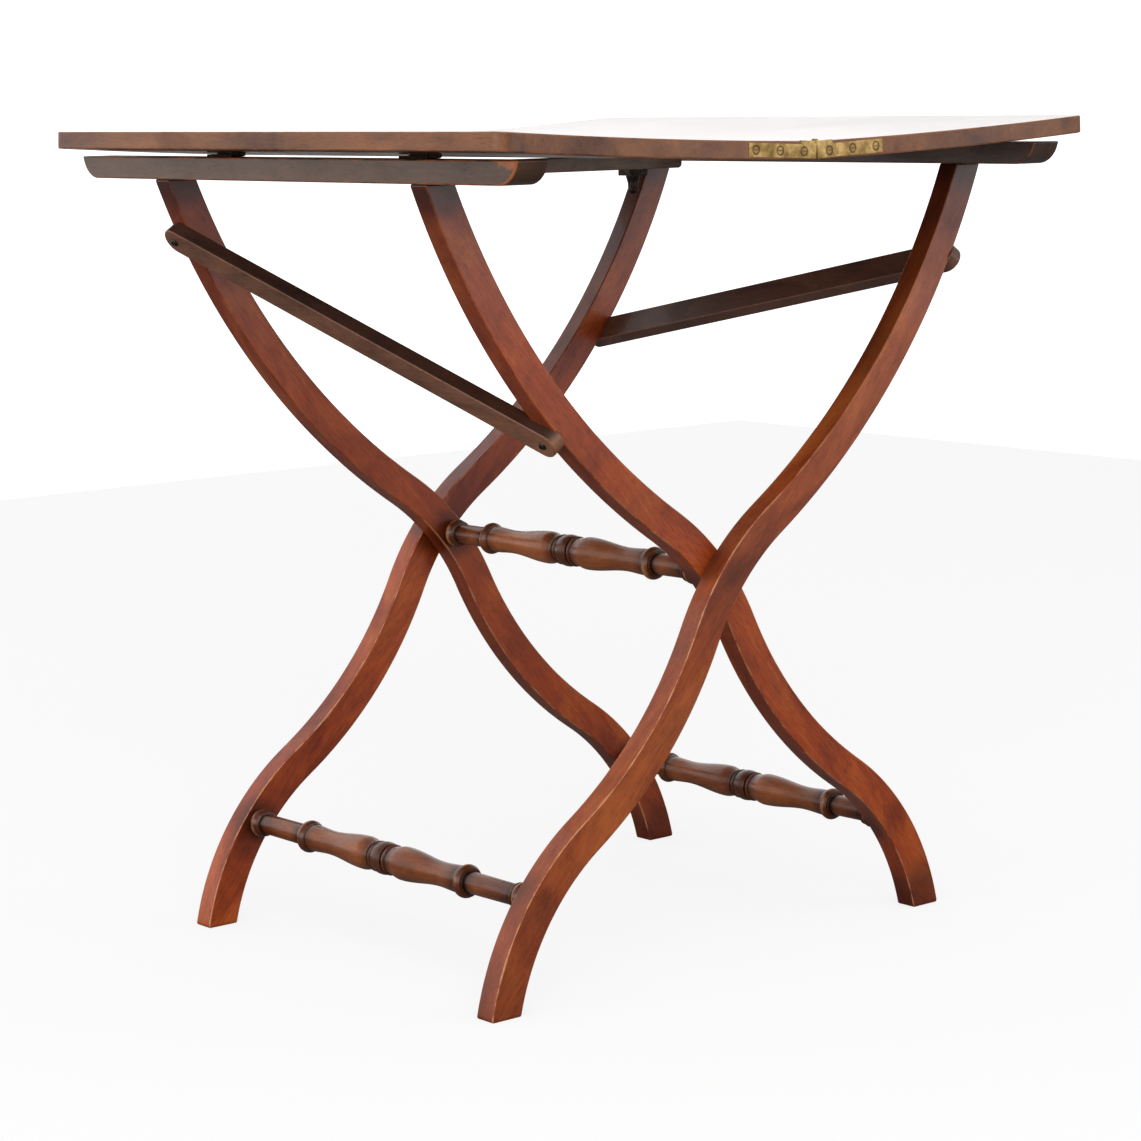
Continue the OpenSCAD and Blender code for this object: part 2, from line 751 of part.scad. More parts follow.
// Lock bar, its pivot bolt, spacer, plate and knob
leaf_under = hinge_z - leaf_t / cos(leaf_angle) + bar_pivot_x * tan(leaf_angle);
bolt_top = leaf_under + bolt_depth;
plate_z = bar_top - bar_t - plate_t;
knob_top = plate_z - run;
module lock_bar_spacer() {
    color(iron) difference() {
        translate([bar_pivot_x, 0, bar_top + run]) cylinder(r = spacer_r, h = leaf_t);
        right_side() translate([0, -2 * spacer_r, -leaf_t])
            cube([2 * bar_pivot_x, 4 * spacer_r, 2 * leaf_t]);
        translate([bar_pivot_x, 0, 0]) cylinder(r = bolt_r + fit, h = bolt_top);
    }
}
module lock_bar_bolt() {
    color(iron) translate([bar_pivot_x, 0, knob_top - bolt_in_knob])
        cylinder(r = bolt_r, h = bolt_top - knob_top + bolt_in_knob);
}
module lock_bar_knob() {
    color(iron) translate([bar_pivot_x, 0, knob_top]) difference() {
        rotate_extrude() polygon(concat(
            [[0, 0], [knob_r, 0], [knob_r, -knob_band]],
            [for (i = [1 : turn_steps])
                [knob_neck_r + (knob_r - knob_neck_r) * (1 - sin(90 * i / turn_steps)),
                    -knob_h / 2 * i / turn_steps - knob_band]],
            [for (i = [1 : turn_steps])
                [knob_neck_r * cos(90 * i / turn_steps),
                    -knob_h + knob_neck_r * (1 - sin(90 * i / turn_steps))]]));
        translate([0, 0, -bolt_in_knob - fit]) cylinder(r = bolt_r + fit, h = bolt_in_knob + over);
    }
}
module bar_outline() {
    difference() {
        translate([-bar_l / 2, 0]) square([bar_l, bar_t]);
        for (s = [-1, 1]) difference() {
            translate([s * bar_l / 2, 0]) square(2 * bar_end_r, center = true);
            translate([s * (bar_l / 2 - bar_end_r), bar_end_r]) circle(bar_end_r);
        }
    }
}
module lock_bar() {
    color(dark_mahogany) difference() {
        translate([0, bar_w / 2, bar_top - bar_t])
            rotate([90, 0, 0]) linear_extrude(bar_w) bar_outline();
        translate([bar_pivot_x, 0, 0]) cylinder(r = bolt_r + run, h = hinge_z);
    }
}
module lock_bar_plate() {
    color(iron) translate([bar_pivot_x, 0, plate_z]) difference() {
        linear_extrude(plate_t) soft_section(plate_w, plate_w, plate_corner_r);
        translate([0, 0, -over]) cylinder(r = bolt_r + run, h = plate_t + 2 * over);
    }
}
outer_leg_near();
outer_leg_far();
right_rail();
outer_stretcher();
outer_brace();
outer_brace_screws();
right_butt_rail_plates();
right_butt_rail_screws();
pivot_pins();
inner_leg_near();
inner_leg_far();
left_rail();
pivot_stretcher();
inner_stretcher();
inner_brace();
inner_brace_screws();
left_butt_rail_plates();
left_butt_rail_screws();
pivot_washers();
right_leaf();
right_butt_leaf_plates();
right_butt_leaf_screws();
right_butt_pins();
near_card_hinge_right();
far_card_hinge_right();
card_hinge_right_screws();
lock_bar_spacer();
lock_bar_bolt();
lock_bar_knob();
left_leaf();
left_butt_leaf_plates();
left_butt_leaf_screws();
left_butt_pins();
near_card_hinge_left();
far_card_hinge_left();
card_hinge_left_screws();
card_hinge_pins();
lock_bar();
lock_bar_plate();
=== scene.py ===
"""A folding coaching table in polished mahogany, with brass hinges and a lock bar under its top."""
import json
import math

import bpy
import numpy as np
from mathutils import Matrix, Vector


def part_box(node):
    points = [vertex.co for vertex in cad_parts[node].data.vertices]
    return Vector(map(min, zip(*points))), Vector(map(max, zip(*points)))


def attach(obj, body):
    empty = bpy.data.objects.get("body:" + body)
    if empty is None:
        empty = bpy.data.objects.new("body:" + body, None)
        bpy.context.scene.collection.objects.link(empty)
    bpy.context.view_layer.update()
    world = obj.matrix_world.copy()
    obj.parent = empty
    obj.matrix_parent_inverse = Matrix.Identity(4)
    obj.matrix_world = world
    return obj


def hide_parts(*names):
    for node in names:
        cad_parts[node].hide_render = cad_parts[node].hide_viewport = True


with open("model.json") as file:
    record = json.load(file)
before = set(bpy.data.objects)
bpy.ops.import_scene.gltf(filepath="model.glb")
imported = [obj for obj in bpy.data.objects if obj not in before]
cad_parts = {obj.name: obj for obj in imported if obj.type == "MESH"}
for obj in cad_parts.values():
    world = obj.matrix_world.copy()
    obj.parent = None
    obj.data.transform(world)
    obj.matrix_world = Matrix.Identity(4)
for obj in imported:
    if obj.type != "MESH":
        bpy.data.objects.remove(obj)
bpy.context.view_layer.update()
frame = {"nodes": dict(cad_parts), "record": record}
MM = 0.001

# Driving sizes of the wooden parts, in metres
LEAF_L = 320 * MM
LEAF_D = 620 * MM
LEAF_T = 14.7 * MM
LEAF_CORNER = 12 * MM
LEAF_ANGLE = math.radians(2.6)
LEAF_CUP = 1.9 * MM
LEAF_TRIM = 0.3 * MM
SEAM = 0.15 * MM
RAIL_W = 31 * MM
RAIL_H = 18.8 * MM
RAIL_L = 600 * MM
RAIL_END = 22 * MM
LEG_FOOT_W = 29.6 * MM
LEG_TOP_W = 26.9 * MM
LEG_T = 20.4 * MM
BRACE_W = 24.5 * MM
BRACE_T = 13 * MM
BRACE_SEAT = 2 * MM
# How far below their rails the braces cross the near and the far leg
OUTER_BRACE_DROPS = (71.5 * MM, 151.5 * MM)
INNER_BRACE_DROPS = (194.5 * MM, 41.5 * MM)
BAR_W = 28 * MM
BAR_END = 4 * MM

# Lean of a leg from upright along its length, in degrees, the radii of its bows, and how many
# degrees further the first and last bows run than the leg does
FOOT, LOWER, KNEE, PIVOT, UPPER, TOP = 12.3, 56.5, 25.6, 39.9, 56.3, 21.8
FOOT_BOW, KNEE_BOW, PIVOT_BOW, UPPER_BOW = 216.8 * MM, 367 * MM, 224 * MM, 625 * MM
RUN_ON = 8

# Arrises and how finely curves are drawn
ARRIS = 1.3 * MM
ARRIS_STEPS = 5
FRAY = 3.5 * MM
RAIL_FRAY = 0.6 * MM
FOOT_ROUND, TOP_ROUND = 1.6 * ARRIS, 1.2 * ARRIS
SKIN = 0.05 * MM
BOW_STEPS = 90
LEG_STEPS = 150
LEAF_STEPS = 60
CORNER_STEPS = 8
LEAF_CORNER_STEPS = 20
RAIL_END_STEPS = 14
BRACE_END_STEPS = 24

# Where wear ends on a face: its share of the room in a bend, and its slope away from the bend
BEND_SHARE, BEND_SLOPE = 0.8, 0.7
# A bend of fewer radians than this counts as this much
STRAIGHT = 0.001
# Wear where an arris meets its faces, and on the crest of the arris
FACE_WEAR, CREST_WEAR = 0.45, 1.0


def board_mesh(name, one_side, other_side, low, high, arris, place, bend=None, fray=FRAY):
    """A board with rounded arrises. Its outline runs along one side and back along the other, and
    the two share their end points. Each ring of points is the outline, drawn in as the quarter
    round of the arris falls, and rows of quads between the two sides close both faces. The wear
    is full on the crest of each arris and fades over a few millimetres on either side of it."""
    outline = np.concatenate([one_side, other_side[-2:0:-1]])
    count = len(outline)
    edge = np.roll(outline, -1, 0) - outline
    length = np.linalg.norm(edge, axis=1)
    edge /= length[:, None]
    out = np.stack([edge[:, 1], -edge[:, 0]], 1)
    before = np.roll(out, 1, 0)
    mitre = (out + before) / (1 + (out * before).sum(1))[:, None]
    turn = np.linspace(0, math.pi / 2, ARRIS_STEPS + 1)
    # The frays of the two arrises leave a third of the edge between them
    fray = min(fray, (high - low - 2 * arris) / 3)
    # The ring where wear ends stays short of the middle of each tight corner, and near it too
    bend_angle = np.arcsin(np.clip(before[:, 0] * out[:, 1] - before[:, 1] * out[:, 0], -1, 1))
    room = (length + np.roll(length, 1)) / 2 / np.maximum(bend_angle, STRAIGHT)
    along = np.cumsum(length) - length
    gap = np.abs(along[:, None] - along[None])
    gap = np.minimum(gap, length.sum() - gap)
    reach = np.clip((BEND_SHARE * room[None] + BEND_SLOPE * gap).min(1), arris, arris + fray)
    far = len(one_side) - 1
    # The two end points of the outline take the shorter reach of their neighbours
    for end in (0, far):
        reach[end] = min(reach[end - 1], reach[end + 1])
    inset = np.concatenate([[0], arris * (1 - np.sin(turn)), [0, 0], arris * (1 - np.cos(turn)), [0]])
    inset = np.repeat(inset[:, None], count, 1)
    inset[[0, -1]] = reach
    height = np.concatenate([[low], low + arris * (1 - np.cos(turn)), [low + arris + fray,
                             high - arris - fray], high - arris * (1 - np.sin(turn)), [high]])
    tilt = np.concatenate([[-math.pi / 2], turn - math.pi / 2, [0, 0], turn, [math.pi / 2]])
    rub = FACE_WEAR + (CREST_WEAR - FACE_WEAR) * np.sin(2 * turn)
    rings = len(tilt)
    points = np.empty((rings, count, 3))
    points[..., :2] = outline[None] - inset[..., None] * mitre[None]
    points[..., 2] = height[:, None]
    facing = mitre / np.linalg.norm(mitre, axis=1)[:, None]
    normals = np.empty((rings, count, 3))
    normals[..., :2] = np.cos(tilt)[:, None, None] * facing[None]
    normals[..., 2] = np.sin(tilt)[:, None]
    if bend:
        shift, slope = bend(points[..., 0])
        points[..., 2] += shift
        normals[..., 0] -= slope * normals[..., 2]
        normals /= np.linalg.norm(normals, axis=2)[..., None]
    here = np.arange(count)
    there = (here + 1) % count
    base = (np.arange(rings - 1) * count)[:, None]
    walls = np.stack([base + here, base + there, base + there + count, base + here + count], 2)
    near = np.arange(1, far - 1)
    back = count - near
    strip = np.stack([near, near + 1, back - 1, back], 1)
    top = (rings - 1) * count
    faces = walls.reshape(-1, 4).tolist() + (strip + top).tolist() + strip[:, ::-1].tolist()
    faces += [[top, top + 1, top + count - 1], [count - 1, 1, 0]]
    faces += [[top + far - 1, top + far, top + far + 1], [far + 1, far, far - 1]]
    mesh = bpy.data.meshes.new(name)
    mesh.from_pydata(place(points.reshape(-1, 3)), [], faces)
    mesh.update()
    mesh.normals_split_custom_set_from_vertices(place(normals.reshape(-1, 3), True).tolist())
    wear = np.repeat(np.concatenate([[0], rub, [0, 0], rub, [0]])[:, None], count, 1)
    wear[[0, -1]] = rub[0] * (1 - (reach - arris) / fray)
    mesh.attributes.new("wear", "FLOAT", "POINT").data.foreach_set("value", wear.ravel())
    return mesh


def add_piece(mesh, body, material, slot, *nodes):
    """One finished piece: it rides on its body and stands for its nodes."""
    piece = bpy.data.objects.new(mesh.name, mesh)
    bpy.context.scene.collection.objects.link(piece)
    mesh.materials.append(material)
    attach(piece, body)
    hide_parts(*nodes)


def placed(axes, origin=(0, 0, 0)):
    """The function that turns board points into the table's: its rows are the three board axes."""
    axes, origin = np.array(axes, float), np.array(origin, float)

    def place(points, only_turn=False):
        return points @ axes + (0 if only_turn else origin)
    return place


def arc(centre, radius, start, stop, steps=CORNER_STEPS):
    """Points of an arc, from one angle to another in degrees."""
    angle = np.radians(np.linspace(start, stop, steps))
    return np.array(centre) + radius * np.stack([np.cos(angle), np.sin(angle)], 1)


def corner(before, at, after, radius, steps=CORNER_STEPS):
    """A rounded corner: the arc that touches both straights, as points along it."""
    a = (before - at) / np.linalg.norm(before - at)
    b = (after - at) / np.linalg.norm(after - at)
    half = math.acos(np.clip(a @ b, -1, 1)) / 2
    middle = (a + b) / np.linalg.norm(a + b)
    centre = at + middle * radius / math.sin(half)
    start, stop = at + a * radius / math.tan(half) - centre, at + b * radius / math.tan(half) - centre
    share = np.linspace(0, 1, steps)[:, None]
    sweep = math.pi - 2 * half
    return centre + (np.sin((1 - share) * sweep) * start + np.sin(share * sweep) * stop) / math.sin(sweep)


# The legs' curve

def bow(start, turn, radius, lean_a, lean_b):
    """Points of a bow of the leg's middle line, and its lean at each: one arc in which the lean
    from upright goes evenly from one angle to the other."""
    lean = np.radians(np.linspace(lean_a, lean_b, BOW_STEPS))
    first = math.radians(lean_a)
    shift = np.stack([math.cos(first) - np.cos(lean), np.sin(lean) - math.sin(first)], 1)
    return start + turn * radius * shift, lean


def leg_line():
    """The middle line of an outer leg from its foot to its top, with the pivot at the origin."""
    start = np.zeros(2)
    pieces = []
    for turn, radius, lean_a, lean_b in ((1, FOOT_BOW, FOOT - RUN_ON, LOWER), (-1, KNEE_BOW, LOWER, KNEE),
                                         (1, PIVOT_BOW, KNEE, PIVOT), (1, PIVOT_BOW, PIVOT, UPPER),
                                         (-1, UPPER_BOW, UPPER, TOP - RUN_ON)):
        points, lean = bow(start, turn, radius, lean_a, lean_b)
        start = points[-1]
        pieces.append((points, lean))
    line = np.concatenate([p for p, lean in pieces])
    lean = np.concatenate([lean for p, lean in pieces])
    return line - pieces[2][0][-1], lean


def at_lean(line, lean, turn_index, degrees):
    """The point where the leg leans by some degrees, on its first or its last bow."""
    part = slice(0, BOW_STEPS) if turn_index == 0 else slice(-BOW_STEPS, None)
    order = np.argsort(lean[part])
    leans, points = lean[part][order], line[part][order]
    return np.array([np.interp(math.radians(degrees), leans, points[:, k]) for k in (0, 1)])


LINE, LEAN = leg_line()
PIVOT_Z = -at_lean(LINE, LEAN, 0, FOOT)[1]
LINE[:, 1] += PIVOT_Z
RAIL_X, RAIL_Z = at_lean(LINE, LEAN, -1, TOP)
NORMAL = np.stack([np.cos(LEAN), -np.sin(LEAN)], 1)


def half_width(height):
    """Half the width of a leg, which tapers from the floor to its rail."""
    return (LEG_FOOT_W + (LEG_TOP_W - LEG_FOOT_W) * height / RAIL_Z) / 2


def leg_side(side, heights):
    """One side of a leg at the given heights: the middle line moved out by half the leg's width."""
    line = LINE + side * half_width(LINE[:, 1:]) * NORMAL
    return np.stack([np.interp(heights, line[:, 1], line[:, 0]), heights], 1)


def leg_mesh(name, middle_y, mirrored):
    """A curved leg: a board whose outline is the two sides of the bows, cut level at both ends."""
    heights = np.linspace(0, RAIL_Z, LEG_STEPS)
    right, left = leg_side(1, heights), leg_side(-1, heights)
    if mirrored:
        right, left = left * [-1, 1], right * [-1, 1]
    foot, top = (right[0] + left[0]) / 2, (right[-1] + left[-1]) / 2
    sides = [np.concatenate([[foot], corner(foot, s[0], s[1], FOOT_ROUND), s[1:-1],
                             corner(s[-2], s[-1], top, TOP_ROUND), [top]]) for s in (right, left)]
    place = placed([(1, 0, 0), (0, 0, 1), (0, -1, 0)], (0, middle_y, 0))
    return board_mesh(name, *sides, -LEG_T / 2, LEG_T / 2, ARRIS, place)


def rail_mesh(name, x):
    """A rail: a long board seen from its side, with a quarter round under each end."""
    end, tip = RAIL_L / 2, RAIL_H - 2 * ARRIS
    start = math.degrees(math.asin(1 - tip / RAIL_END))
    steps = RAIL_END_STEPS
    low = np.concatenate([arc((RAIL_END - end, RAIL_END), RAIL_END, 180 + start, 270, steps),
                          arc((end - RAIL_END, RAIL_END), RAIL_END, -90, -start, steps)])
    high = np.concatenate([low[:1], arc((ARRIS - end, RAIL_H - ARRIS), ARRIS, 180, 90, steps),
                           arc((end - ARRIS, RAIL_H - ARRIS), ARRIS, 90, 0, steps), low[-1:]])
    place = placed([(0, 1, 0), (0, 0, 1), (1, 0, 0)], (x, 0, RAIL_Z))
    return board_mesh(name, low, high, -RAIL_W / 2, RAIL_W / 2, ARRIS, place, fray=RAIL_FRAY)


# The top

BAR_GAP = 0.3 * MM
SCREW_FIRST, SCREW_PITCH, SCREW_DEPTH, SCREW_HEAD = 13.5 * MM, 26 * MM, 8.4 * MM, 3.5 * MM
HINGE_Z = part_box("lock_bar")[1].z + BAR_GAP + LEAF_T


def cup(along):
    """How far an old leaf has sunk between its two edges, and its slope there: a parabola."""
    share = along / LEAF_L
    return -4 * LEAF_CUP * share * (1 - share), -4 * LEAF_CUP * (1 - 2 * share) / LEAF_L


def leaf_mesh(name, side):
    """A leaf: a board with two rounded corners, cupped a little, sloping down to the hinge line."""
    half = LEAF_D / 2 - LEAF_TRIM
    steps = np.linspace(SEAM + 2 * ARRIS, LEAF_L - LEAF_CORNER, LEAF_STEPS)[:-1]
    near = np.concatenate([[(SEAM, 0)], arc((SEAM + ARRIS, ARRIS - half), ARRIS, 180, 270),
                           np.stack([steps, np.full_like(steps, -half)], 1),
                           arc((LEAF_L - LEAF_CORNER, LEAF_CORNER - half), LEAF_CORNER, -90, 0,
                               LEAF_CORNER_STEPS), [(LEAF_L, 0)]])
    s, c = math.sin(LEAF_ANGLE), math.cos(LEAF_ANGLE)
    place = placed([(side * c, 0, s), (0, side, 0), (-side * s, 0, c)], (0, 0, HINGE_Z))
    return board_mesh(name, near, near * [1, -1], -LEAF_T + SKIN, -SKIN, ARRIS, place, cup)


# The braces and the lock bar

def brace_mesh(name, span, drops, mirrored):
    """A brace: a board with half-round ends, from the outer edge of one leg to that of the other,
    which it crosses at two drops below their rail."""
    def crossing(height):
        """The point on a leg's outer side that is square to its middle line at a height."""
        line = LINE[-BOW_STEPS:]
        lean = np.interp(height, line[:, 1], LEAN[-BOW_STEPS:])
        x = np.interp(height, line[:, 1], line[:, 0])
        return x + half_width(height) * math.cos(lean), height - half_width(height) * math.sin(lean)
    (near_x, near_z), (far_x, far_z) = [crossing(RAIL_Z - drop) for drop in drops]
    side = -1 if mirrored else 1
    near = np.array([side * near_x, -span / 2, near_z])
    along = np.array([side * far_x, span / 2, far_z]) - near
    length = np.linalg.norm(along)
    along /= length
    level = np.array([side * (far_z - near_z), 0, near_x - far_x]) * (1 if far_z > near_z else -1)
    out = level / np.linalg.norm(level)
    across = np.cross(out, along)
    r = BRACE_W / 2
    low = np.concatenate([arc((0, 0), r, 180, 270, BRACE_END_STEPS),
                          arc((length, 0), r, 270, 360, BRACE_END_STEPS)])
    place = placed([along, across, out], near)
    return board_mesh(name, low, low * [1, -1], -BRACE_SEAT, BRACE_T - BRACE_SEAT, ARRIS, place)


def bar_mesh(name):
    """The lock bar: a board seen from its side, with rounded lower corners."""
    (x0, y0, z0), (x1, y1, z1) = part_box("lock_bar")
    tall, half, middle = z1 - z0, (x1 - x0) / 2, (x1 + x0) / 2
    tip = (BAR_END + tall - ARRIS) / 2
    low = np.concatenate([[(-half, tip)], arc((BAR_END - half, BAR_END), BAR_END, 180, 270),
                          arc((half - BAR_END, BAR_END), BAR_END, -90, 0), [(half, tip)]])
    high = np.concatenate([[(-half, tip)], arc((ARRIS - half, tall - ARRIS), ARRIS, 180, 90),
                           arc((half - ARRIS, tall - ARRIS), ARRIS, 90, 0), [(half, tip)]])
    place = placed([(1, 0, 0), (0, 0, 1), (0, -1, 0)], (middle, 0, z0))
    return board_mesh(name, low, high, -BAR_W / 2, BAR_W / 2, ARRIS / 2, place)


# The turned stretchers

BARREL_W, BARREL_R, BARREL_FALL = 13 * MM, 14.2 * MM, 1 * MM
GROOVE_R, GROOVE_W = 11.6 * MM, 1.5 * MM
RING_W, RING_R = 3 * MM, 13.4 * MM
COVE_W = 2.5 * MM
VASE_START_R, VASE_RISE, VASE_R = 12.3 * MM, 13.5 * MM, 14.4 * MM
WAIST_AT, WAIST_R, WAIST_END_R = 78 * MM, 10.4 * MM, 11.6 * MM
FLANGE_AT, FLANGE_W, FLANGE_R = 110 * MM, 9 * MM, 14.2 * MM
FILLET_W, FILLET_R, NECK_FILLET_R = 1.5 * MM, 12.2 * MM, 11.2 * MM
NECK_R, NECK_MID_R = 9.2 * MM, 8.9 * MM
COLLAR_W, COLLAR_R, COLLAR_FOOT_W, COLLAR_FOOT_R = 9 * MM, 12.6 * MM, 2 * MM, 10.5 * MM
COLLAR_RING_W, COLLAR_RING_R, COLLAR_RING_FOOT_R = 3 * MM, 11.3 * MM, 9.5 * MM
# The length that a sheer step of the turning takes
STEP = MM / 10
TURNED_STEPS = 14
ROUND_STEPS = 56
# Edges sharper than this stay crisp
CREASE = math.radians(38)
# How far along the radii are averaged, and how far above the average is fully worn
CREST_REACH, CREST_RISE = 6 * MM, 1.5 * MM


def bead(at, width, foot, crest):
    """A bead of the turning: half a sine wave of radius over its width."""
    share = np.linspace(0, 1, TURNED_STEPS)
    return np.stack([at + width * share, foot + (crest - foot) * np.sin(math.pi * share)], 1)


def ease(start, stop, first, last, steps=3 * TURNED_STEPS):
    """A slow swell or taper of the turning: half a cosine wave from one radius to the next."""
    share = np.linspace(0, 1, steps)
    return np.stack([start + (stop - start) * share,
                     first + (last - first) * (1 - np.cos(math.pi * share)) / 2], 1)


def turned_mesh(name, centre, end):
    """A stretcher turned on a lathe: the profile of one half, mirrored, swept round its axis."""
    ring_at = BARREL_W / 2 + GROOVE_W
    vase_at = ring_at + RING_W + COVE_W
    neck_at = FLANGE_AT + FLANGE_W / 2 + FILLET_W
    collar_at = end - COLLAR_FOOT_W - COLLAR_W
    barrel = np.linspace(0, 1, TURNED_STEPS)
    half = np.concatenate([
        np.stack([BARREL_W / 2 * barrel, BARREL_R - BARREL_FALL * (1 - np.cos(math.pi / 2 * barrel))], 1),
        [(BARREL_W / 2 + STEP, GROOVE_R)], bead(ring_at, RING_W, GROOVE_R, RING_R),
        [(vase_at - STEP, GROOVE_R)], ease(vase_at, vase_at + VASE_RISE, VASE_START_R, VASE_R),
        ease(vase_at + VASE_RISE, WAIST_AT, VASE_R, WAIST_R)[1:],
        ease(WAIST_AT, FLANGE_AT - FLANGE_W / 2 - FILLET_W, WAIST_R, WAIST_END_R)[1:],
        [(FLANGE_AT - FLANGE_W / 2 - FILLET_W, FILLET_R)],
        bead(FLANGE_AT - FLANGE_W / 2, FLANGE_W, FILLET_R, FLANGE_R),
        [(FLANGE_AT + FLANGE_W / 2 + STEP, NECK_FILLET_R), (neck_at, NECK_FILLET_R)],
        ease(neck_at + STEP, collar_at - COLLAR_RING_W, NECK_R, NECK_MID_R),
        bead(collar_at - COLLAR_RING_W + STEP, COLLAR_RING_W - 2 * STEP, COLLAR_RING_FOOT_R, COLLAR_RING_R),
        bead(collar_at, COLLAR_W, COLLAR_FOOT_R, COLLAR_R), [(end, COLLAR_FOOT_R)]])
    profile = np.concatenate([half[:0:-1] * [-1, 1], half])
    along, radius = profile[:, 0], profile[:, 1]
    rows = len(profile)
    angle = np.linspace(0, 2 * math.pi, ROUND_STEPS, endpoint=False)
    points = np.empty((rows, ROUND_STEPS, 3))
    points[..., 0] = centre[0] + radius[:, None] * np.cos(angle)
    points[..., 1] = centre[1] + along[:, None]
    points[..., 2] = centre[2] - radius[:, None] * np.sin(angle)
    here = np.arange(ROUND_STEPS)
    there = (here + 1) % ROUND_STEPS
    base = (np.arange(rows - 1) * ROUND_STEPS)[:, None]
    walls = np.stack([base + here, base + there, base + there + ROUND_STEPS, base + here + ROUND_STEPS], 2)
    faces = walls.reshape(-1, 4).tolist()
    faces += [here[::-1].tolist(), (here + (rows - 1) * ROUND_STEPS).tolist()]
    mesh = bpy.data.meshes.new(name)
    mesh.from_pydata(points.reshape(-1, 3), [], faces)
    mesh.update()
    mesh.shade_smooth()
    mesh.set_sharp_from_angle(angle=CREASE)
    # A crest stands above the mean radius near it, and a hollow lies below
    window = np.abs(along[:, None] - along[None]) < CREST_REACH
    stands = (radius - (window * radius).sum(1) / window.sum(1)) / CREST_RISE
    mesh.attributes.new("wear", "FLOAT", "POINT").data.foreach_set(
        "value", np.repeat(np.clip(stands, -1, 1), ROUND_STEPS))
    return mesh


# Materials

def linear(colour):
    """The linear value of an sRGB colour that is written in hex."""
    parts = [int(colour[i:i + 2], 16) / 255 for i in (1, 3, 5)]
    return [p / 12.92 if p <= 0.04045 else ((p + 0.055) / 1.055) ** 2.4 for p in parts] + [1]


def new_material(name):
    """An empty material and its tree of nodes."""
    material = bpy.data.materials.new(name)
    material.use_nodes = True
    tree = material.node_tree
    tree.nodes.clear()
    return material, tree


def add(tree, kind, values=None, links=None, **settings):
    """Adds a node with its settings, the values of its sockets and the links into them."""
    node = tree.nodes.new(kind)
    for key, value in settings.items():
        setattr(node, key, value)
    for key, value in (values or {}).items():
        node.inputs[key].default_value = value
    for key, source in (links or {}).items():
        tree.links.new(source, node.inputs[key])
    return node


def ramp(tree, source, stops):
    """A colour ramp through (position, hex colour or grey) stops."""
    node = add(tree, "ShaderNodeValToRGB", links={"Fac": source})
    elements = node.color_ramp.elements
    while len(elements) < len(stops):
        elements.new(0.5)
    for element, (position, colour) in zip(elements, stops):
        element.position = position
        element.color = linear(colour) if isinstance(colour, str) else (colour, colour, colour, 1)
    return node.outputs["Color"]


def mixed(tree, blend, share, first, second):
    """Two colours mixed; the share and either colour may be a value or a socket."""
    node = add(tree, "ShaderNodeMix", data_type="RGBA", blend_type=blend)
    for index, value in ((0, share), (6, first), (7, second)):
        if isinstance(value, bpy.types.NodeSocket):
            tree.links.new(value, node.inputs[index])
        elif isinstance(value, str):
            node.inputs[index].default_value = linear(value)
        else:
            node.inputs[index].default_value = value
    return node.outputs[2]


# What darkens the wood: old polish, painted shade near the top, dirt and painted shade round
# joints, pores, hollows, and painted shade on faces that look down and up
OLD_POLISH, SHADED, DIRT_AND_SHADE, PORE = "#8A6C5E", "#8C7264", "#6A564C", "#5A463E"
HOLLOW, UNDERSIDE_SHADE, UPPER_FACE_SHADE = "#4A3A34", "#7C6E56", "#54413A"


